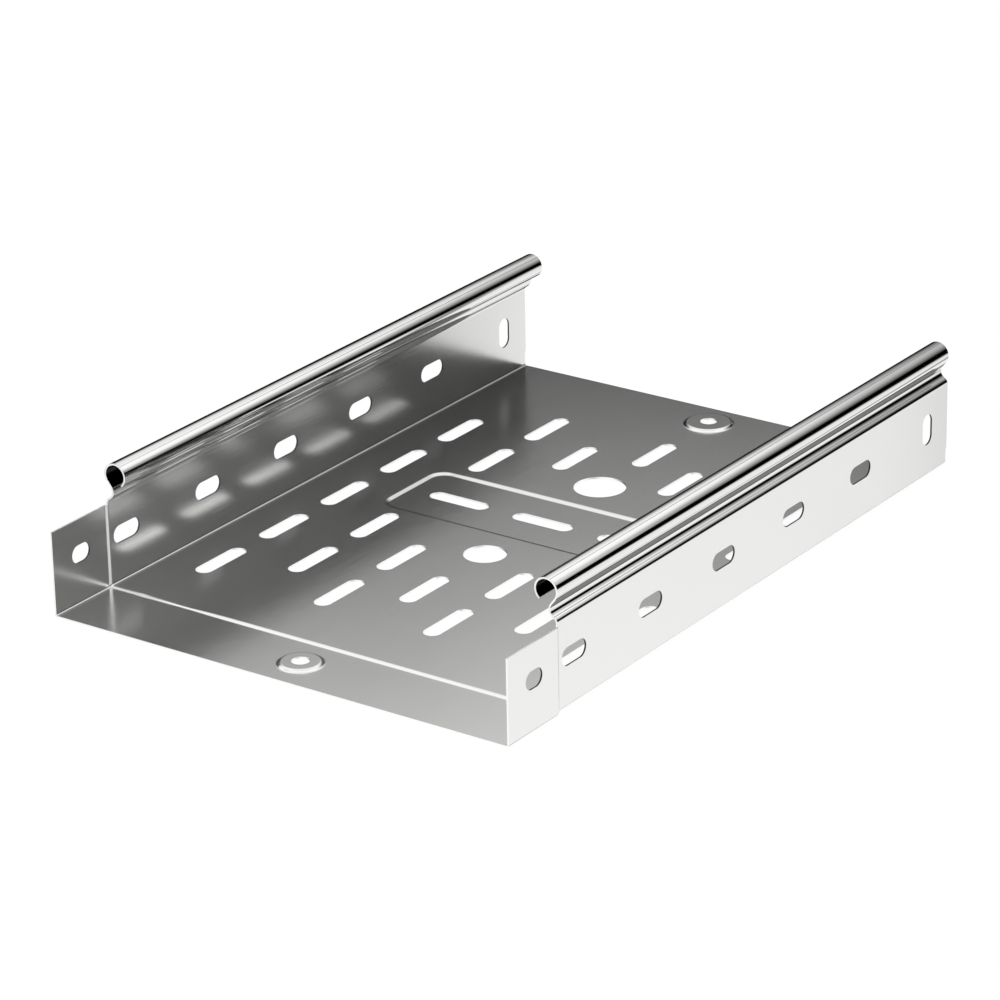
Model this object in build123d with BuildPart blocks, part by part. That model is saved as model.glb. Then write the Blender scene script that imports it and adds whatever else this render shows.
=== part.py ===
# Perforated cable tray, one folded sheet of stainless steel.
# X runs across the tray, Y along it with the spigot at the low end, Z up from the floor.
# The origin is on the floor at the middle of the length and width.
import math
import os

from build123d import *

os.makedirs("parts", exist_ok=True)

# Driving dimensions, in mm and degrees. Distances along the tray count from the spigot end.
sheet = 0.7                 # steel thickness
width = 200.0               # outside width over the side walls
height = 50.7               # floor to the top of the rolled rails
length = 299.0              # spigot end to rear end
bend_in = 0.8               # inside radius of the base bends

spigot_len = 30.2           # plain spigot before the joggle
joggle_len = 0.9            # length of the sloped joggle
joggle = sheet              # the spigot stands out and down by one sheet
spigot_drop = 0.9           # spigot wall top, below the slope's foot

rail_h = 16.4               # slope's foot to the rail top
foot_r = 2.45               # outside radius of the bend from the wall into the slope
neck_r = 2.9                # outside radius of the hollow neck under the curl
slope_deg = 64.0            # how far the slope leans in from the wall
curl_r = 4.85               # outside radius of the rolled rail
curl_inset = 4.7            # rail centre inside the wall face
curl_lip_deg = 231.5        # where the rolled lip stops, counted from +X

rear_relief = 0.6           # base and lower bends stop short of the wall ends
rear_relief_top = 7.5

slot_w = 7.0                # width of every slot
slot_l = 26.6               # overall length of the base slots
row_first = 70.9            # first row of base slots
row_pitch = 19.26
slot_rows = {               # column distance from the centreline: its rows
    79.8: (0, 2, 4, 6, 8),
    51.2: (1, 3, 7, 9),
    24.6: (0, 2, 8),
    0.0: (1, 9),
}
entry_holes = {3: 16.5, 7: 20.5}    # row: diameter of the round cable entry

panel_w, panel_l = 125.6, 40.0      # sunk panel, measured at its rim
panel_corner = 7.0
panel_run = 1.2                     # horizontal run of its sloped rim
panel_at = 166.7                    # panel centre
cross_pitch = 38.9                  # slots running across inside the panel

front_boss_d, front_boss_top_d = 16.8, 14.8     # boss diameters at the sheet and the top
rear_boss_d, rear_boss_top_d = 19.6, 18.0       # the rear boss nests over the next front one
boss_rise = 1.1
boss_hole_d = 6.8
front_boss_at = 15.3
rear_holes_at = length - 15.2       # rear boss and upright slots

side_slot_l = 15.0                  # slots in the side walls
side_slot_z = 20.0
side_first, side_pitch, side_count = 40.8, 48.15, 5
spigot_slot_l, spigot_slot_at, spigot_slot_z = 10.0, 15.5, 20.0
rear_slot_l, rear_slot_z = 12.6, 20.2

# Derived places
half = width / 2
front_y = -length / 2
rear_y = length / 2
joggle_y = front_y + spigot_len
body_y = joggle_y + joggle_len
base_top = joggle + sheet
foot_z = height - rail_h
spigot_wall_top = foot_z - spigot_drop
bend_mid = bend_in + sheet / 2
row_y = [front_y + row_first + row_pitch * k for k in range(10)]
panel_y = front_y + panel_at
side_y = [front_y + side_first + side_pitch * k for k in range(side_count)]

# Middle line of the right-hand rail: wall, foot arc, neck arc, then a tangent to the curl
mid_x = half - sheet / 2
foot_mid = foot_r - sheet / 2
neck_mid = neck_r + sheet / 2
curl_mid = curl_r - sheet / 2
lean = math.radians(slope_deg)
foot_x = mid_x - foot_mid
neck_x = foot_x + (foot_mid + neck_mid) * math.cos(lean)
neck_z = foot_z + (foot_mid + neck_mid) * math.sin(lean)
curl_x = half - curl_inset
curl_z = height - curl_r
apart = math.hypot(curl_x - neck_x, curl_z - neck_z)
towards_curl = math.atan2(curl_z - neck_z, curl_x - neck_x)
rise = towards_curl - math.asin((neck_mid + curl_mid) / apart)
across = (-math.sin(rise), math.cos(rise))
neck_end = (neck_x + neck_mid * across[0], neck_z + neck_mid * across[1])
curl_foot = (curl_x - curl_mid * across[0], curl_z - curl_mid * across[1])
curl_start_deg = math.degrees(rise) - 90
neck_turn_deg = slope_deg + 90 - math.degrees(rise)


def channel(y, out, underside):
    """U section of the sheet at y, up to the spigot wall top, by outer half width and underside."""
    m = sheet / 2
    foot, top = underside + m, spigot_wall_top - m
    with BuildSketch(Plane.XZ.offset(-y)) as section:
        with BuildLine():
            FilletPolyline((m - out, top), (m - out, foot), (out - m, foot), (out - m, top),
                           radius=bend_mid)
            offset(amount=m, side=Side.BOTH)
        make_face()
    return section.sketch


# Main body: base, wall and rolled rail in one section
with BuildSketch(Plane.XZ.offset(-rear_y)) as body_section:
    with BuildLine():
        FilletPolyline((0, joggle + sheet / 2), (mid_x, joggle + sheet / 2), (mid_x, foot_z),
                       radius=bend_mid)
        CenterArc((foot_x, foot_z), foot_mid, 0, slope_deg)
        CenterArc((neck_x, neck_z), neck_mid, slope_deg + 180, -neck_turn_deg)
        Line(neck_end, curl_foot)
        CenterArc((curl_x, curl_z), curl_mid, curl_start_deg, curl_lip_deg - curl_start_deg)
        offset(amount=sheet / 2, side=Side.BOTH)
    make_face()
    with Locations((-half, height / 2)):
        Rectangle(width, 2 * height, mode=Mode.SUBTRACT)
    mirror(about=Plane.YZ)

# The sunk panel's outline, pressed down by one sheet
panel_plane = Plane.XY.offset(joggle)
with BuildPart() as panel_press:
    with BuildSketch(panel_plane):
        RectangleRounded(panel_w, panel_l, panel_corner)
    with BuildSketch(panel_plane.offset(-sheet)):
        RectangleRounded(panel_w - 2 * panel_run, panel_l - 2 * panel_run,
                         panel_corner - panel_run)
    loft(ruled=True)

# The embossed bosses, each raised from the top of the sheet
with BuildPart() as front_boss_press:
    Cone(front_boss_d / 2, front_boss_top_d / 2, boss_rise,
         align=(Align.CENTER, Align.CENTER, Align.MIN))
with BuildPart() as rear_boss_press:
    Cone(rear_boss_d / 2, rear_boss_top_d / 2, boss_rise,
         align=(Align.CENTER, Align.CENTER, Align.MIN))

with BuildPart() as cable_tray:
    # folded sheet
    extrude(body_section.sketch, amount=rear_y - body_y, dir=(0, -1, 0))
    extrude(channel(front_y, half + joggle, 0), amount=spigot_len, dir=(0, 1, 0))
    loft([channel(joggle_y, half + joggle, 0), channel(body_y, half, joggle)], ruled=True)

    # sunk panel
    with Locations((0, panel_y, 0)):
        add(panel_press.part)
    with Locations((0, panel_y, sheet)):
        add(panel_press.part, mode=Mode.SUBTRACT)

    # embossed bosses with a bolt hole
    for press, at, top in ((front_boss_press, front_boss_at, sheet),
                           (rear_boss_press, rear_holes_at, base_top)):
        with Locations((0, front_y + at, top)):
            add(press.part)
        with Locations((0, front_y + at, top - sheet)):
            add(press.part, mode=Mode.SUBTRACT)
        with Locations((0, front_y + at, 0)):
            Cylinder(boss_hole_d / 2, height, mode=Mode.SUBTRACT)

    # slots and cable entries in the base
    with BuildSketch():
        for column, rows in slot_rows.items():
            with Locations(*[(x, row_y[k]) for x in {-column, column} for k in rows]):
                SlotOverall(slot_l, slot_w, rotation=90)
        with Locations(*[(x, panel_y) for x in (-cross_pitch, 0, cross_pitch)]):
            SlotOverall(slot_l, slot_w)
        for row, diameter in entry_holes.items():
            with Locations((0, row_y[row])):
                Circle(diameter / 2)
    extrude(amount=base_top, mode=Mode.SUBTRACT)

    # slots through both side walls
    with BuildSketch(Plane.YZ):
        with Locations(*[(y, side_slot_z) for y in side_y]):
            SlotOverall(side_slot_l, slot_w)
        with Locations((front_y + spigot_slot_at, spigot_slot_z)):
            SlotOverall(spigot_slot_l, slot_w)
        with Locations((front_y + rear_holes_at, rear_slot_z)):
            SlotOverall(rear_slot_l, slot_w, rotation=90)
    extrude(amount=width, both=True, mode=Mode.SUBTRACT)

    # relief across the rear end
    with Locations((0, rear_y, rear_relief_top)):
        Box(2 * width, 2 * rear_relief, 2 * rear_relief_top,
            align=(Align.CENTER, Align.CENTER, Align.MAX), mode=Mode.SUBTRACT)

cable_tray.part.label = "cable_tray"
export_step(cable_tray.part, "parts/cable_tray.step")
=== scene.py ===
import math

import bmesh
import bpy
from bpy.props import FloatProperty, FloatVectorProperty, IntProperty
from mathutils import Matrix, Vector


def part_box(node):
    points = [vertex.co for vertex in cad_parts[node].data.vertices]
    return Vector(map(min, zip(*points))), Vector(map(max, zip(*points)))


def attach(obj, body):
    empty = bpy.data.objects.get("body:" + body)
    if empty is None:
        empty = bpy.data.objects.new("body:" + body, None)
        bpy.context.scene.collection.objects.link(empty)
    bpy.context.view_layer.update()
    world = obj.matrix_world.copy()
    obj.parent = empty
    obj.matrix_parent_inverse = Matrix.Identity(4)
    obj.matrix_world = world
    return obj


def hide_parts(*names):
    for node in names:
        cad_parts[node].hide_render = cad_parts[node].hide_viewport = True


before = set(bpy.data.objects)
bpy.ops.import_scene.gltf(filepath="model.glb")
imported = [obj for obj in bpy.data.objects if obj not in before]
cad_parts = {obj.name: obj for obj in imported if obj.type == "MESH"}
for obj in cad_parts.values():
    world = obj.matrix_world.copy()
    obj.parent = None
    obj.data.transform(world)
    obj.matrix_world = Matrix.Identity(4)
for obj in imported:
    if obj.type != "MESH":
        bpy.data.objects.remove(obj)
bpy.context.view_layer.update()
LOW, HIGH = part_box("cable_tray")
SHEET = 0.0007           # steel thickness, in metres as every length here
NEAR = 1e-5              # points closer than this count as being in one place
MERGE = 1e-6             # points closer than this are made one

bl_info = {
    "name": "Perforated Cable Tray",
    "version": (1, 0, 0),
    "blender": (4, 5, 0),
    "location": "3D View > Sidebar > Tray",
    "description": "Folds, presses and punches a stainless cable tray and sets its studio",
    "category": "Object",
}


def metres(name, description, default):
    """Setting that is a length."""
    return FloatProperty(name=name, description=description, default=default, min=0,
                         subtype="DISTANCE", unit="LENGTH", precision=5)


def degrees(name, description, default):
    """Setting that is an angle, given here in degrees."""
    return FloatProperty(name=name, description=description, subtype="ANGLE",
                         default=math.radians(default))


def fraction(name, description, default):
    """Setting from 0 to 1."""
    return FloatProperty(name=name, description=description, default=default, min=0, max=1)


def tint(name, description, default):
    """Setting that is a colour."""
    return FloatVectorProperty(name=name, description=description, default=default,
                               subtype="COLOR", size=3, min=0, max=1)


class FoldSettings(bpy.types.PropertyGroup):
    """Sizes of the folded sheet. Distances along the tray count from the spigot end."""
    width: metres("Width", "Over the side walls", HIGH.x - LOW.x - 2 * SHEET)
    height: metres("Height", "Floor to the top of the rolled rails", HIGH.z - LOW.z)
    tray_length: metres("Length", "Spigot end to rear end", HIGH.y - LOW.y)
    sheet: metres("Sheet", "Steel thickness", SHEET)
    bend_in: metres("Bend", "Inside radius of the base bends", 0.0008)
    spigot: metres("Spigot", "Plain spigot before the joggle", 0.0302)
    joggle: metres("Joggle", "Length of the sloped joggle", 0.0009)
    joggle_soft: metres("Joggle softness", "Rounding of the joggle's folds", 0.00035)
    spigot_drop: metres("Spigot drop", "Spigot wall top below the slope's foot", 0.0009)
    rail: metres("Rail", "Slope's foot to the rail top", 0.0164)
    foot_radius: metres("Foot radius", "Outside radius between wall and slope", 0.00245)
    neck_radius: metres("Neck radius", "Outside radius of the hollow neck", 0.0029)
    slope: degrees("Slope", "How far the slope leans in from the wall", 64)
    curl_radius: metres("Curl radius", "Outside radius of the rolled rail", 0.00485)
    curl_inset: metres("Curl inset", "Rail centre inside the wall face", 0.0047)
    curl_lip: degrees("Curl lip", "Where the rolled lip stops, counted from the outside", 231.5)
    relief: metres("Relief", "Base and lower bends stop short of the wall ends", 0.0006)
    relief_top: metres("Relief top", "Height of that relief", 0.0075)


class PressSettings(bpy.types.PropertyGroup):
    """Sizes of the sunk panel and the bosses"""
    panel_width: metres("Panel width", "Across the tray, at the rim", 0.1256)
    panel_length: metres("Panel length", "Along the tray, at the rim", 0.04)
    panel_at: metres("Panel at", "Centre, from the spigot end", 0.1667)
    panel_corner: metres("Panel corner", "Corner radius at the rim", 0.007)
    panel_run: metres("Panel run", "Horizontal run of the sloped rim", 0.0012)
    front_boss: metres("Front boss", "Diameter at the sheet", 0.0168)
    front_boss_top: metres("Front boss top", "Diameter at the top", 0.0148)
    front_boss_at: metres("Front boss at", "Distance from the spigot end", 0.0153)
    rear_boss: metres("Rear boss", "Diameter at the sheet", 0.0196)
    rear_boss_top: metres("Rear boss top", "Diameter at the top", 0.018)
    rear_boss_at: metres("Rear boss at", "Distance from the rear end", 0.0152)
    boss_rise: metres("Boss rise", "Height over the sheet", 0.0011)
    collar: metres("Collar", "Flat margin worked around each pressed shape", 0.001)
    softness: metres("Softness", "Rounding of the pressed edges", 0.0005)


class HoleSettings(bpy.types.PropertyGroup):
    """Sizes and places of the slots and holes"""
    slot_width: metres("Slot width", "Width of every slot", 0.007)
    slot_length: metres("Slot length", "Overall length of the base slots", 0.0266)
    row_first: metres("First row", "Distance of the first row of base slots", 0.0709)
    row_pitch: metres("Row pitch", "Distance between rows", 0.01926)
    columns: FloatVectorProperty(
        name="Columns", description="Slot columns from the centreline outwards", size=4,
        unit="LENGTH", default=(0.0, 0.0246, 0.0512, 0.0798))
    cross_pitch: metres("Cross pitch", "Between the slots across the panel", 0.0389)
    entry_small: metres("Small entry", "Diameter of the small cable entry", 0.0165)
    entry_large: metres("Large entry", "Diameter of the large cable entry", 0.0205)
    boss_hole: metres("Boss hole", "Bolt hole in the bosses", 0.0068)
    side_length: metres("Side slot", "Length of the side wall slots", 0.015)
    side_height: metres("Side slot height", "Centre of the side slots", 0.02)
    side_first: metres("First side slot", "Distance of the first side slot", 0.0408)
    side_pitch: metres("Side pitch", "Between side slots", 0.04815)
    side_count: IntProperty(name="Side slots", description="On each side", default=5)
    spigot_slot: metres("Spigot slot", "Length of the spigot wall slots", 0.01)
    spigot_slot_at: metres("Spigot slot at", "Distance from the spigot end", 0.0155)
    rear_slot: metres("Rear slot", "Length of the upright slots", 0.0126)
    rear_slot_height: metres("Rear slot height", "Centre of the upright slots", 0.0202)
    eased: metres("Eased edge", "Width of the broken cut edges", 0.00008)


class SteelSettings(bpy.types.PropertyGroup):
    """The rolled stainless sheet"""
    colour: tint("Steel colour", "Reflectance of the bare steel", (0.80, 0.80, 0.79))
    roughness: fraction("Roughness", "How much the rolled finish blurs reflections", 0.21)
    rail_roughness: fraction("Rail roughness", "The same on the rails, burnished by the rolling",
                             0.07)
    grain: fraction("Grain", "Depth of the rolling grain's shading", 0.02)
    edge_colour: tint("Edge colour", "Reflectance of the bright sheared edges",
                      (0.95, 0.95, 0.94))
    edge_roughness: fraction("Edge roughness", "Roughness of the sheared edges", 0.35)
    # painted shade: the sheared edges inside the wall slots are coloured near black for the shade
    # in them
    slot_edge_shade: tint("Slot edge colour", "Sheared edges inside the wall slots",
                           (0.05, 0.05, 0.05))
    # painted shade: the inside of the rolled rails is coloured near black for the shade in it
    rail_inside_shade: tint("Inside colour", "Unlit inside of the rolled rails", (0.03, 0.03, 0.03))


class StudioSettings(bpy.types.PropertyGroup):
    """Floor, surroundings and camera"""
    azimuth: degrees("Azimuth", "Camera turned to the right of the length axis", 35.4648)
    elevation: degrees("Elevation", "Camera above the horizon", 22.744)
    roll: degrees("Roll", "Camera tilt about its own axis", -1.1787)
    distance: metres("Distance", "Camera to the point it looks at", 1.63033)
    lens: FloatProperty(
        name="Lens", description="Focal length on a 36 mm sensor, in millimetres",
        min=1, default=159.71)
    look_at: FloatVectorProperty(
        name="Look at", description="Point at the middle of the picture", subtype="XYZ",
        unit="LENGTH", default=(0.01439, -0.03067, 0.03))
    floor_size: metres("Floor size", "Side of the square floor", 20)
    wall_radius: metres("Wall radius", "The round studio wall that the steel reflects", 0.6)
    wall_height: metres("Wall height", "Its full height, half of it below the floor", 3)
    second: fraction("Second reflection", "Share of the back's light left in it", 0.35)
    shadow: fraction("Shadow", "Share of the floor's light that the tray can shade", 0.05)


def near(a, b):
    return abs(a - b) < NEAR


def alone(piece):
    """Select only this object and make it active."""
    bpy.ops.object.select_all(action="DESELECT")
    piece.select_set(True)
    bpy.context.view_layer.objects.active = piece


def choose(piece, test, kind="edges"):
    """In edit mode, select only the edges, faces or verts whose every point passes the test."""
    mesh = bmesh.from_edit_mesh(piece.data)
    bpy.ops.mesh.select_all(action="DESELECT")
    for element in getattr(mesh, kind):
        points = [element.co] if kind == "verts" else [v.co for v in element.verts]
        if all(test(p) for p in points):
            element.select_set(True)
    bmesh.update_edit_mesh(piece.data)


def drag(vector):
    """Extrude the selected edges and move them by the vector."""
    bpy.ops.mesh.extrude_region_move(TRANSFORM_OT_translate={"value": vector})


def roll(centre, turn, steps, inwards):
    """Roll the sheet on from its selected edge around a line along the tray."""
    bpy.ops.mesh.spin(steps=steps, angle=turn, center=centre,
                      axis=(0, 1, 0) if inwards else (0, -1, 0))


def round_off(width, steps):
    """Round the selected edges."""
    bpy.ops.mesh.bevel(offset_type="OFFSET", offset=width, segments=steps, profile=0.5,
                       affect="EDGES")


def narrow(share):
    """Scale what is selected to this share of its width and length."""
    bpy.ops.transform.resize(value=(share, share, 1))


def apply(piece, name, kind, **values):
    """Add a modifier with these values and apply it."""
    alone(piece)
    modifier = piece.modifiers.new(name, kind)
    for key, value in values.items():
        setattr(modifier, key, value)
    bpy.ops.object.modifier_apply(modifier=name)


class Places:
    """Places on the sheet's middle surface, worked out from the settings."""

    def __init__(self, fold):
        half_sheet = fold.sheet / 2
        self.front = -fold.tray_length / 2
        self.rear = fold.tray_length / 2
        self.joggle_end = self.front + fold.spigot
        self.body = self.joggle_end + fold.joggle
        self.spigot_z = half_sheet
        self.base_z = fold.sheet + half_sheet
        self.wall_x = fold.width / 2 - half_sheet
        self.foot_z = fold.height - fold.rail
        self.spigot_top = self.foot_z - fold.spigot_drop
        self.bend = fold.bend_in + half_sheet

        # the neck is tangent to the foot, and a straight piece joins it to the curl
        foot_mid = fold.foot_radius - half_sheet
        neck_mid = fold.neck_radius + half_sheet
        curl_mid = fold.curl_radius - half_sheet
        self.foot = Vector((self.wall_x - foot_mid, 0, self.foot_z))
        self.neck = self.foot + (foot_mid + neck_mid) * Vector(
            (math.cos(fold.slope), 0, math.sin(fold.slope)))
        self.curl = Vector((fold.width / 2 - fold.curl_inset, 0,
                            fold.height - fold.curl_radius))
        apart = self.curl - self.neck
        rise = math.atan2(apart.z, apart.x) - math.asin((neck_mid + curl_mid) / apart.length)
        across = Vector((-math.sin(rise), 0, math.cos(rise)))
        self.neck_turn = fold.slope + math.pi / 2 - rise
        self.neck_to_curl = (self.curl - curl_mid * across) - (self.neck + neck_mid * across)
        self.curl_turn = fold.curl_lip - (rise - math.pi / 2)


# Steps of each round part of the section and of the joggle's folds
BEND_STEPS, FOOT_STEPS, NECK_STEPS, CURL_STEPS, JOGGLE_STEPS = 8, 10, 14, 40, 3


def fold_half(fold, at):
    """Middle surface of the right half: base, wall, slope, neck, curl, joggle and spigot."""
    bpy.ops.object.select_all(action="DESELECT")
    bpy.ops.mesh.primitive_plane_add(
        size=1, location=(at.wall_x / 2, (at.body + at.rear) / 2, at.base_z))
    piece = bpy.context.object
    piece.name = "folded_sheet"
    bpy.ops.object.mode_set(mode="EDIT")
    bpy.ops.transform.resize(value=(at.wall_x, at.rear - at.body, 1))
    bpy.ops.object.mode_set(mode="OBJECT")
    bpy.ops.object.transform_apply(location=True, rotation=True, scale=True)
    bpy.ops.object.mode_set(mode="EDIT")
    bpy.ops.mesh.select_mode(type="EDGE")

    # wall, rolled rail and base bend
    choose(piece, lambda p: near(p.x, at.wall_x))
    drag((0, 0, at.spigot_top - at.base_z))
    drag((0, 0, at.foot_z - at.spigot_top))
    roll(at.foot, fold.slope, FOOT_STEPS, inwards=True)
    roll(at.neck, at.neck_turn, NECK_STEPS, inwards=False)
    drag(at.neck_to_curl)
    roll(at.curl, at.curl_turn, CURL_STEPS, inwards=True)
    choose(piece, lambda p: p.x > at.wall_x - NEAR and p.z < at.base_z + NEAR)
    round_off(at.bend, BEND_STEPS)

    # joggle, one sheet outwards and down, and the spigot
    choose(piece, lambda p: near(p.y, at.body) and p.z < at.spigot_top + NEAR)
    drag((0, -fold.joggle, 0))
    bpy.ops.mesh.select_mode(type="VERT")
    choose(piece, lambda p: near(p.y, at.joggle_end) and p.x > NEAR, "verts")
    bpy.ops.transform.translate(value=(fold.sheet, 0, 0))
    choose(piece, lambda p: near(p.y, at.joggle_end) and p.z < at.spigot_top - NEAR, "verts")
    bpy.ops.transform.translate(value=(0, 0, -fold.sheet))
    bpy.ops.mesh.select_mode(type="EDGE")
    choose(piece, lambda p: near(p.y, at.joggle_end))
    drag((0, -fold.spigot, 0))
    for line in (at.joggle_end, at.body):
        choose(piece, lambda p: near(p.y, line) and p.z < at.spigot_top + NEAR)
        round_off(fold.joggle_soft, JOGGLE_STEPS)
    bpy.ops.object.mode_set(mode="OBJECT")
    return piece


class TRAY_OT_fold_sheet(bpy.types.Operator):
    """Fold, joggle and roll the sheet, still without thickness"""
    bl_idname = "tray.fold_sheet"
    bl_label = "Fold sheet"

    def execute(self, context):
        fold = context.scene.tray_fold
        piece = fold_half(fold, Places(fold))
        for faces in ("rolled_stainless", "sheared_edge"):
            piece.data.materials.append(bpy.data.materials.new(faces))
        apply(piece, "other_half", "MIRROR", use_axis=(True, False, False),
              use_mirror_merge=True, merge_threshold=MERGE)
        return {"FINISHED"}


PANEL_STEPS = 10         # of each rounded corner
BOSS_STEPS = 64          # around a boss
RIM_STEPS = 4            # of each rounded fold of a pressed shape


def soften(piece, press, test):
    """Round the folds of a pressed rim."""
    bpy.ops.mesh.select_mode(type="EDGE")
    choose(piece, test)
    round_off(press.softness, RIM_STEPS)


def press_panel(piece, press, y, z, depth):
    """Sunk panel with rounded corners and a sloped rim, inside a flat collar."""
    bpy.ops.mesh.select_mode(type="VERT")
    bpy.ops.mesh.select_all(action="DESELECT")
    bpy.ops.mesh.primitive_plane_add(size=1, location=(0, y, z))
    bpy.ops.transform.resize(value=(press.panel_width + 2 * press.collar,
                                    press.panel_length + 2 * press.collar, 1))
    bpy.ops.mesh.bevel(offset=press.panel_corner + press.collar, segments=PANEL_STEPS,
                       affect="VERTICES")
    bpy.ops.mesh.select_mode(type="FACE")
    bpy.ops.mesh.inset(thickness=press.collar)
    bpy.ops.mesh.inset(thickness=press.panel_run)
    bpy.ops.transform.translate(value=(0, 0, -depth))

    def in_rim(p):
        return (abs(p.x) < press.panel_width / 2 + NEAR
                and abs(p.y - y) < press.panel_length / 2 + NEAR)

    soften(piece, press, lambda p: in_rim(p) and near(p.z, z))
    soften(piece, press, lambda p: in_rim(p) and near(p.z, z - depth))


def press_boss(piece, press, base, top, y, z):
    """Embossed round boss of two diameters inside a flat collar."""
    bpy.ops.mesh.select_mode(type="EDGE")
    bpy.ops.mesh.select_all(action="DESELECT")
    collar = base / 2 + press.collar
    bpy.ops.mesh.primitive_circle_add(vertices=BOSS_STEPS, radius=collar, location=(0, y, z))
    drag((0, 0, 0))
    narrow(base / 2 / collar)
    drag((0, 0, press.boss_rise))
    narrow(top / base)
    bpy.ops.mesh.edge_face_add()

    def on_boss(p):
        return math.hypot(p.x, p.y - y) < base / 2 + NEAR

    soften(piece, press, lambda p: on_boss(p) and near(p.z, z))
    soften(piece, press, lambda p: on_boss(p) and near(p.z, z + press.boss_rise))


def open_base(piece, at):
    """Take the flat faces out of the base, and the seam that the mirror left in them."""
    levels = (at.base_z, at.spigot_z)
    bpy.ops.mesh.select_mode(type="FACE")
    for level in levels:
        choose(piece, lambda p: near(p.z, level), "faces")
        bpy.ops.mesh.delete(type="ONLY_FACE")
    bpy.ops.mesh.select_mode(type="EDGE")
    for level in levels:
        choose(piece, lambda p: near(p.x, 0) and near(p.z, level))
        bpy.ops.mesh.delete(type="EDGE")


def close_base(piece, front, rear, z):
    """Fill the flat base between two crosswise lines, around what is pressed into it."""
    mesh = bmesh.from_edit_mesh(piece.data)
    bpy.ops.mesh.select_mode(type="EDGE")
    bpy.ops.mesh.select_all(action="DESELECT")
    for edge in mesh.edges:
        flat = all(near(v.co.z, z) and front - NEAR < v.co.y < rear + NEAR for v in edge.verts)
        edge.select_set(flat and len(edge.link_faces) < 2)
    bmesh.update_edit_mesh(piece.data)
    bpy.ops.mesh.fill(use_beauty=True)


class TRAY_OT_press_sheet(bpy.types.Operator):
    """Press the sunk panel and the bosses, and give the sheet its thickness"""
    bl_idname = "tray.press_sheet"
    bl_label = "Press sheet"

    def execute(self, context):
        fold, press = context.scene.tray_fold, context.scene.tray_press
        at = Places(fold)
        piece = bpy.data.objects["folded_sheet"]
        alone(piece)
        bpy.ops.object.mode_set(mode="EDIT")
        open_base(piece, at)
        press_panel(piece, press, at.front + press.panel_at, at.base_z, fold.sheet)
        press_boss(piece, press, press.front_boss, press.front_boss_top,
                   at.front + press.front_boss_at, at.spigot_z)
        press_boss(piece, press, press.rear_boss, press.rear_boss_top,
                   at.rear - press.rear_boss_at, at.base_z)
        close_base(piece, at.body, at.rear, at.base_z)
        close_base(piece, at.front, at.joggle_end, at.spigot_z)

        bpy.ops.mesh.select_all(action="SELECT")
        bpy.ops.mesh.remove_doubles(threshold=MERGE)
        bpy.ops.mesh.normals_make_consistent(inside=False)
        bpy.ops.object.mode_set(mode="OBJECT")
        apply(piece, "thickness", "SOLIDIFY", thickness=fold.sheet, offset=0,
              use_even_offset=True, material_offset_rim=1)
        return {"FINISHED"}


# Turns of a slot that is drawn along Y and cuts along Z
ALONG_Y = Matrix.Identity(4)
ALONG_X = Matrix.Rotation(math.pi / 2, 4, "Z")
LYING = Matrix.Rotation(math.pi / 2, 4, "Y")
STANDING = Matrix(((0, 0, 1, 0), (1, 0, 0, 0), (0, 1, 0, 0), (0, 0, 0, 1)))

SLOT_STEPS = 48          # around both ends of a slot
BASE_REACH = 0.01        # height of a cutter that passes through the base
ROWS = 10                # that the base slots and the cable entries stand in
SMALL_ENTRY_ROW, LARGE_ENTRY_ROW = 3, 7
SLOT_ROWS = ((1, 9), (0, 2, 8), (1, 3, 7, 9), (0, 2, 4, 6, 8))    # of each column, outwards


def slot_cutter(long, wide, place, turn=ALONG_Y, reach=BASE_REACH):
    """Block in the shape of a slot: a cylinder whose halves are drawn apart."""
    bpy.ops.object.select_all(action="DESELECT")
    bpy.ops.mesh.primitive_cylinder_add(vertices=SLOT_STEPS, radius=wide / 2, depth=reach)
    cutter = bpy.context.object
    bpy.ops.object.mode_set(mode="EDIT")
    bpy.ops.transform.rotate(value=math.pi / SLOT_STEPS, orient_axis="Z",
                             center_override=(0, 0, 0))
    bpy.ops.mesh.select_mode(type="VERT")
    for side in (-1, 1):
        choose(cutter, lambda p: p.y * side > 0, "verts")
        bpy.ops.transform.translate(value=(0, side * (long - wide) / 2, 0))
    bpy.ops.object.mode_set(mode="OBJECT")
    cutter.data.transform(Matrix.Translation(place) @ turn)
    return cutter


def base_cutters(press, holes, at):
    """Cutters of the slots, cable entries and bolt holes in the base."""
    row = [at.front + holes.row_first + k * holes.row_pitch for k in range(ROWS)]
    cutters = []
    for column, rows in zip(holes.columns, SLOT_ROWS):
        for k in rows:
            for x in {-column, column}:
                cutters.append(slot_cutter(holes.slot_length, holes.slot_width, (x, row[k], 0)))
    for x in (-holes.cross_pitch, 0, holes.cross_pitch):
        cutters.append(slot_cutter(holes.slot_length, holes.slot_width,
                                   (x, at.front + press.panel_at, 0), ALONG_X))
    rounds = ((holes.entry_small, row[SMALL_ENTRY_ROW]), (holes.entry_large, row[LARGE_ENTRY_ROW]),
              (holes.boss_hole, at.front + press.front_boss_at),
              (holes.boss_hole, at.rear - press.rear_boss_at))
    for size, y in rounds:
        cutters.append(slot_cutter(size, size, (0, y, 0)))
    return cutters


def wall_cutters(fold, press, holes, at):
    """Cutters that pass through both side walls. The upright ones line up with the rear boss."""
    wide, reach = holes.slot_width, 2 * fold.width
    cutters = []
    for k in range(holes.side_count):
        y = at.front + holes.side_first + k * holes.side_pitch
        cutters.append(slot_cutter(holes.side_length, wide, (0, y, holes.side_height),
                                   LYING, reach))
    y = at.front + holes.spigot_slot_at
    cutters.append(slot_cutter(holes.spigot_slot, wide, (0, y, holes.side_height), LYING, reach))
    y = at.rear - press.rear_boss_at
    cutters.append(slot_cutter(holes.rear_slot, wide, (0, y, holes.rear_slot_height),
                               STANDING, reach))
    return cutters


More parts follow.
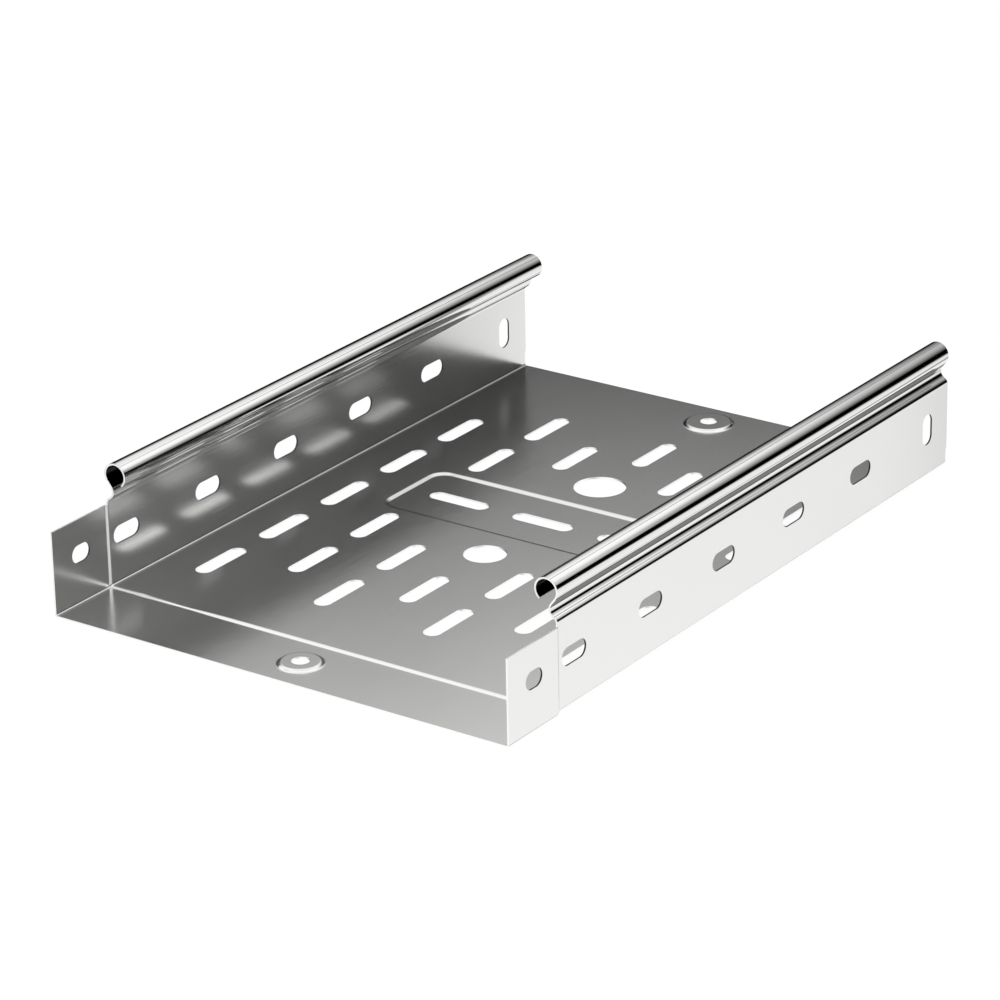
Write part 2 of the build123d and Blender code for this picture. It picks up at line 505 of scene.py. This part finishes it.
def relief_cutter(fold, at):
    """Block that takes the base and the lower bends back from the rear end."""
    bpy.ops.object.select_all(action="DESELECT")
    bpy.ops.mesh.primitive_cube_add(size=1)
    cutter = bpy.context.object
    bpy.ops.object.mode_set(mode="EDIT")
    bpy.ops.transform.resize(value=(2 * fold.width, 2 * fold.relief, 2 * fold.relief_top))
    bpy.ops.object.mode_set(mode="OBJECT")
    cutter.data.transform(Matrix.Translation((0, at.rear, 0)))
    return cutter


EASED_OVER = math.radians(50)     # edges that turn more than this are broken
SMOOTH_UNDER = math.radians(35)   # edges that turn less than this are shaded smooth


class TRAY_OT_punch_holes(bpy.types.Operator):
    """Punch the slots and holes, and break the cut edges"""
    bl_idname = "tray.punch_holes"
    bl_label = "Punch holes"

    def execute(self, context):
        fold, press, holes = (context.scene.tray_fold, context.scene.tray_press,
                              context.scene.tray_holes)
        at = Places(fold)
        piece = bpy.data.objects["folded_sheet"]
        cutters = (base_cutters(press, holes, at) + wall_cutters(fold, press, holes, at)
                   + [relief_cutter(fold, at)])
        bpy.ops.object.select_all(action="DESELECT")
        for cutter in cutters:
            cutter.select_set(True)
        punch = cutters[0]
        bpy.context.view_layer.objects.active = punch
        bpy.ops.object.join()
        punch.data.materials.append(piece.data.materials["sheared_edge"])
        apply(piece, "punched", "BOOLEAN", operation="DIFFERENCE", solver="EXACT",
              material_mode="TRANSFER", object=punch)
        bpy.data.objects.remove(punch)
        apply(piece, "eased", "BEVEL", width=holes.eased, segments=2, limit_method="ANGLE",
              angle_limit=EASED_OVER, use_clamp_overlap=True)
        alone(piece)
        bpy.ops.object.shade_smooth_by_angle(angle=SMOOTH_UNDER)
        apply(piece, "even_normals", "WEIGHTED_NORMAL", keep_sharp=True)
        return {"FINISHED"}


NOISE_LOW, NOISE_HIGH = 0.3, 0.7     # most values of a noise lie between these


def grey(value):
    return (value, value, value, 1)


class Shading:
    """Node tree of one material, with short ways to add nodes and link them."""

    def __init__(self, material, empty=False):
        material.use_nodes = True
        self.nodes = material.node_tree.nodes
        self.links = material.node_tree.links
        if empty:
            self.nodes.clear()

    def put(self, socket, value):
        """Link a socket to another one, or give it a plain value."""
        if isinstance(value, bpy.types.NodeSocket):
            self.links.new(value, socket)
        else:
            socket.default_value = value

    def add(self, kind, inputs=(), output=0, **options):
        """New node with these options and inputs. Gives one of its outputs."""
        node = self.nodes.new(kind)
        for name, value in options.items():
            setattr(node, name, value)
        for place, value in dict(inputs).items():
            self.put(node.inputs[place], value)
        return node.outputs[output]

    def work_out(self, operation, *values):
        """Result of a math node on sockets or numbers."""
        return self.add("ShaderNodeMath", dict(enumerate(values)), operation=operation)

    def map_range(self, value, start, end, low=0.0, high=1.0, smooth=False):
        """Goes from low to high as the value goes from start to end."""
        return self.add("ShaderNodeMapRange",
                        {"Value": value, "From Min": start, "From Max": end,
                         "To Min": low, "To Max": high},
                        interpolation_type="SMOOTHSTEP" if smooth else "LINEAR")

    def mix(self, share, first, second, kind="RGBA"):
        """Passes from the first colour or number to the second as the share grows."""
        return self.add("ShaderNodeMix", {"Factor": share, "A": first, "B": second},
                        output="Result", data_type=kind)

    def place(self):
        """Object coordinates."""
        return self.add("ShaderNodeTexCoord", output="Object")

    def split(self, vector):
        """X, Y and Z of a vector."""
        node = self.nodes.new("ShaderNodeSeparateXYZ")
        self.put(node.inputs[0], vector)
        return tuple(node.outputs)

    def noise(self, place, stretch, scale, detail):
        """Noise of the given scale, drawn out along the tray."""
        drawn = self.add("ShaderNodeMapping", {"Vector": place, "Scale": (1, stretch, 1)})
        return self.add("ShaderNodeTexNoise",
                        {"Vector": drawn, "Scale": scale, "Detail": detail}, output="Fac")

    def vary(self, noise, middle, reach):
        """Number that follows a noise to both sides of its middle value."""
        return self.map_range(noise, NOISE_LOW, NOISE_HIGH, middle - reach, middle + reach)

    def ramp(self, value, stops):
        """Grey by value, from stops of value and brightness."""
        low, high = stops[0][0], stops[-1][0]
        node = self.nodes.new("ShaderNodeValToRGB")
        self.put(node.inputs[0], self.map_range(value, low, high))
        elements = node.color_ramp.elements
        while len(elements) > 1:
            elements.remove(elements[-1])
        for k, (stop, brightness) in enumerate(stops):
            position = (stop - low) / (high - low)
            element = elements[0] if k == 0 else elements.new(position)
            element.position = position
            element.color = grey(brightness)
        return node.outputs[0]

    def end(self, surface):
        """Make this shader the material's surface."""
        output = self.nodes.new("ShaderNodeOutputMaterial")
        self.put(output.inputs["Surface"], surface)


RAIL_FROM, RAIL_TO = -0.0005, 0.001     # the burnish grows between these, over the slope's foot
CURL_SKIN = 0.8                         # share of the curl's thickness that counts as outside
GRAIN_DEPTH = 0.0001                    # of the rolling grain, for its shading


def finish_sheet(material, steel, fold):
    """Bright rolled steel: satin sheet, smoother rails, and painted shade, near black, inside the
    rolled rails.
    """
    at = Places(fold)
    tree = Shading(material)
    shader = tree.nodes["Principled BSDF"]
    place = tree.place()
    x, _, z = tree.split(place)

    grain = tree.noise(place, stretch=0.03, scale=2600, detail=3)
    smudge = tree.noise(place, stretch=0.5, scale=28, detail=4)
    satin = tree.work_out("ADD", tree.vary(grain, middle=0, reach=0.02),
                          tree.vary(smudge, middle=steel.roughness, reach=0.012))
    on_rail = tree.map_range(z, at.foot_z + RAIL_FROM, at.foot_z + RAIL_TO, smooth=True)
    rough = tree.mix(on_rail, satin, steel.rail_roughness, kind="FLOAT")

    # painted shade: steel deeper in the curl than its outer skin is coloured near black
    beside = tree.work_out("SUBTRACT", tree.work_out("ABSOLUTE", x), at.curl.x)
    above = tree.work_out("SUBTRACT", z, at.curl.z)
    off = tree.work_out("SQRT", tree.work_out(
        "ADD", tree.work_out("MULTIPLY", beside, beside),
        tree.work_out("MULTIPLY", above, above)))
    inside = tree.work_out("LESS_THAN", off, fold.curl_radius - CURL_SKIN * fold.sheet)
    colour = tree.mix(inside, (*steel.colour, 1), (*steel.rail_inside_shade, 1))

    relief = tree.add("ShaderNodeBump", {"Strength": steel.grain, "Distance": GRAIN_DEPTH,
                                         "Height": grain})
    tree.put(shader.inputs["Metallic"], 1)
    tree.put(shader.inputs["Roughness"], rough)
    tree.put(shader.inputs["Base Color"], colour)
    tree.put(shader.inputs["Normal"], relief)


END_MARGIN, TOP_MARGIN = 0.005, 0.003     # the wall slots keep off the walls' edges by more


def finish_edges(material, steel, fold):
    """Sheared edge: bright broken grain across the thickness, and painted shade, near black, on
    the edges inside the wall slots.
    """
    at = Places(fold)
    tree = Shading(material)
    shader = tree.nodes["Principled BSDF"]
    place = tree.place()
    x, y, z = tree.split(place)

    # painted shade: the cut edges inside the wall slots get a near-black colour instead of the
    # bright edge colour
    in_wall = tree.work_out("GREATER_THAN", tree.work_out("ABSOLUTE", x), at.wall_x - fold.sheet)
    off_ends = tree.work_out("LESS_THAN", tree.work_out("ABSOLUTE", y), at.rear - END_MARGIN)
    below_top = tree.work_out("LESS_THAN", z, at.spigot_top - TOP_MARGIN)
    in_shaded_slot = tree.work_out("MULTIPLY", in_wall, tree.work_out("MULTIPLY", off_ends, below_top))
    colour = tree.mix(in_shaded_slot, (*steel.edge_colour, 1), (*steel.slot_edge_shade, 1))

    torn = tree.noise(place, stretch=1, scale=3000, detail=3)
    tree.put(shader.inputs["Metallic"], 1)
    tree.put(shader.inputs["Roughness"], tree.vary(torn, middle=steel.edge_roughness, reach=0.05))
    tree.put(shader.inputs["Base Color"], colour)


class TRAY_OT_finish_sheet(bpy.types.Operator):
    """Give the punched sheet its rolled stainless finish"""
    bl_idname = "tray.finish_sheet"
    bl_label = "Finish sheet"

    def execute(self, context):
        fold, steel = context.scene.tray_fold, context.scene.tray_steel
        piece = bpy.data.objects["folded_sheet"]
        finish_sheet(piece.data.materials["rolled_stainless"], steel, fold)
        finish_edges(piece.data.materials["sheared_edge"], steel, fold)
        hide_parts("cable_tray")
        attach(piece, "root")
        return {"FINISHED"}


# Brightness of the studio's wall by height, in metres, for each stretch of it. Reflections pass
# the floor, so the wall goes on below it.
LOWER_LEFT = ((-1.5, 0.5), (-0.5, 0.5), (-0.35, 0.0))
LOWER_RIGHT = ((-1.5, 0.05), (-0.75, 0.05), (-0.6, 1.15), (-0.04, 0.965), (0.0, 0.35))
LOWER_HOLLOW = ((-1.5, 0.05), (-0.75, 0.05), (-0.6, 0.35), (-0.2, 0.28), (-0.04, 0.28),
                (0.0, 0.2))
UPPER_CENTRE = ((0.03, 0.0), (0.18, 0.0), (0.22, 0.12), (0.27, 0.25), (0.30, 0.35),
                (0.35, 0.50), (0.42, 0.70), (0.50, 1.05), (0.6, 1.2), (1.5, 1.2))
STRETCHES = {
    "far left": LOWER_LEFT + ((0.21, 0.0), (0.26, 0.24), (0.30, 0.36), (0.335, 0.43),
                              (0.37, 0.46), (0.40, 0.75), (0.43, 0.97), (0.59, 1.0), (1.5, 1.2)),
    "left": LOWER_LEFT + ((0.12, 0.0), (0.166, 0.12), (0.20, 0.20), (0.26, 0.29), (0.30, 0.40),
                          (0.335, 0.52), (0.37, 0.72), (0.42, 0.90), (0.59, 1.0), (1.5, 1.2)),
    "centre": LOWER_RIGHT + UPPER_CENTRE,
    "hollow": LOWER_HOLLOW + UPPER_CENTRE,       # seen in the neck under the right rail
    "right": LOWER_RIGHT + ((0.03, 0.0), (0.225, 0.0), (0.265, 0.50), (0.35, 0.76),
                            (0.42, 1.15), (0.70, 1.2), (1.5, 1.2)),
    "side": ((-1.5, 0.5), (0.0, 0.5), (0.03, 0.05), (0.14, 0.05), (0.18, 1.2), (1.5, 1.2)),
    "front": ((-1.5, 0.4), (-0.75, 0.4), (-0.6, 1.05), (-0.04, 1.05), (0.0, 0.3),
              (0.03, 0.03), (0.12, 0.06), (0.20, 0.18), (0.30, 0.38), (0.40, 0.60),
              (0.50, 1.0), (0.6, 1.2), (1.5, 1.2)),
}

# The back of the wall from left to right: each stretch, and between which X it takes over
BACK_START = "far left"
BACK = (("left", -0.40, -0.33), ("centre", -0.20, -0.10), ("hollow", 0.22, 0.27),
        ("centre", 0.28, 0.30), ("right", 0.38, 0.46))
SEAM_AT, SEAM_HALF, SEAM_GREY = -0.02, 0.025, 0.35     # upright grey joint in the back

# Between which Y the front passes into the sides, and the sides into the back
FRONT_TO_SIDE = (-0.45, -0.35)
SIDE_TO_BACK = (-0.1, 0.0)


def studio_light(studio):
    """Light of the studio's wall. In its back part, a second reflection meets less of it."""
    material = bpy.data.materials.new("studio_light")
    tree = Shading(material, empty=True)
    across, along, height = tree.split(tree.place())
    stretch = {name: tree.ramp(height, stops) for name, stops in STRETCHES.items()}

    back = stretch[BACK_START]
    for name, start, end in BACK:
        back = tree.mix(tree.map_range(across, start, end, smooth=True), back, stretch[name])
    off_seam = tree.work_out("ABSOLUTE", tree.work_out("SUBTRACT", across, SEAM_AT))
    back = tree.mix(tree.work_out("LESS_THAN", off_seam, SEAM_HALF), back, grey(SEAM_GREY))
    reflections = tree.add("ShaderNodeLightPath", output="Glossy Depth")
    back = tree.mix(tree.map_range(reflections, 1, 2, 0, 1 - studio.second), back, grey(0))

    front = tree.mix(tree.map_range(along, *FRONT_TO_SIDE, smooth=True),
                     stretch["front"], stretch["side"])
    whole = tree.mix(tree.map_range(along, *SIDE_TO_BACK, smooth=True), front, back)
    tree.end(tree.add("ShaderNodeEmission", {"Color": whole}))
    material.cycles.emission_sampling = "NONE"
    return material


WALL_STEPS = 128         # around the studio's wall


def studio_wall(studio):
    """Round wall of light close to the tray, seen by nothing but the steel's reflections."""
    bpy.ops.object.select_all(action="DESELECT")
    bpy.ops.mesh.primitive_cylinder_add(
        vertices=WALL_STEPS, radius=studio.wall_radius, depth=studio.wall_height,
        end_fill_type="NOTHING", location=(0, 0, 0))
    wall = bpy.context.object
    wall.name = "studio_wall"
    bpy.ops.object.shade_smooth()
    wall.data.materials.append(studio_light(studio))
    wall.visible_camera = False
    wall.visible_diffuse = False
    wall.visible_transmission = False
    wall.visible_volume_scatter = False
    wall.visible_shadow = False


LIFT = 1.3               # the shaded share is lit this much more, so the open floor is white


def floor(studio):
    """White floor with a faint shadow. Reflections in the steel pass it and meet the wall."""
    bpy.ops.object.select_all(action="DESELECT")
    bpy.ops.mesh.primitive_plane_add(size=studio.floor_size, location=(0, 0, 0))
    plane = bpy.context.object
    plane.name = "studio_floor"
    material = bpy.data.materials.new("floor_white")
    tree = Shading(material, empty=True)
    glow = tree.add("ShaderNodeEmission", {"Strength": 1 - studio.shadow})
    matt = tree.add("ShaderNodeBsdfDiffuse", {"Color": grey(LIFT * studio.shadow)})
    white = tree.add("ShaderNodeAddShader", {0: glow, 1: matt})
    reflected = tree.add("ShaderNodeLightPath", output="Is Glossy Ray")
    clear = tree.add("ShaderNodeBsdfTransparent")
    tree.end(tree.add("ShaderNodeMixShader", {0: reflected, 1: white, 2: clear}))
    plane.data.materials.append(material)


def surroundings(context):
    """Even white world, which lights the floor and is the background."""
    world = bpy.data.worlds.new("studio")
    context.scene.world = world
    world.use_nodes = True
    world.node_tree.nodes["Background"].inputs["Color"].default_value = grey(1)


SENSOR = 36              # width in millimetres, as the lens setting counts


def aim_camera(context, studio):
    """Camera at the photograph's angle."""
    turn = (Matrix.Rotation(studio.azimuth, 3, "Z")
            @ Matrix.Rotation(math.pi / 2 - studio.elevation, 3, "X")
            @ Matrix.Rotation(studio.roll, 3, "Z"))
    data = bpy.data.cameras.new("camera")
    data.lens = studio.lens
    data.sensor_width = SENSOR
    camera = bpy.data.objects.new("camera", data)
    context.scene.collection.objects.link(camera)
    camera.rotation_euler = turn.to_euler()
    camera.location = Vector(studio.look_at) + turn @ Vector((0, 0, studio.distance))
    context.scene.camera = camera


class TRAY_OT_set_stage(bpy.types.Operator):
    """Set the white floor, the studio around it and the camera"""
    bl_idname = "tray.set_stage"
    bl_label = "Set stage"

    def execute(self, context):
        studio = context.scene.tray_studio
        floor(studio)
        studio_wall(studio)
        surroundings(context)
        aim_camera(context, studio)
        context.scene.view_settings.view_transform = "Standard"
        return {"FINISHED"}


class TRAY_PT_sidebar(bpy.types.Panel):
    """Buttons and sizes for the tray"""
    bl_idname = "TRAY_PT_sidebar"
    bl_label = "Cable tray"
    bl_space_type = "VIEW_3D"
    bl_region_type = "UI"
    bl_category = "Tray"

    def draw(self, context):
        layout = self.layout
        for operator in OPERATORS:
            layout.operator(operator.bl_idname)
        for slot in SETTINGS:
            group = getattr(context.scene, slot)
            for name in group.bl_rna.properties.keys():
                if name not in ("rna_type", "name"):
                    layout.prop(group, name)


SETTINGS = {"tray_fold": FoldSettings, "tray_press": PressSettings, "tray_holes": HoleSettings,
            "tray_steel": SteelSettings, "tray_studio": StudioSettings}
OPERATORS = (TRAY_OT_fold_sheet, TRAY_OT_press_sheet, TRAY_OT_punch_holes,
             TRAY_OT_finish_sheet, TRAY_OT_set_stage)
CLASSES = (*SETTINGS.values(), *OPERATORS, TRAY_PT_sidebar)


def register():
    for cls in CLASSES:
        bpy.utils.register_class(cls)
    for slot, cls in SETTINGS.items():
        setattr(bpy.types.Scene, slot, bpy.props.PointerProperty(type=cls))


def unregister():
    for slot in SETTINGS:
        delattr(bpy.types.Scene, slot)
    for cls in reversed(CLASSES):
        bpy.utils.unregister_class(cls)


def main():
    register()
    bpy.ops.tray.fold_sheet()
    bpy.ops.tray.press_sheet()
    bpy.ops.tray.punch_holes()
    bpy.ops.tray.finish_sheet()
    bpy.ops.tray.set_stage()


if __name__ == "__main__":
    main()
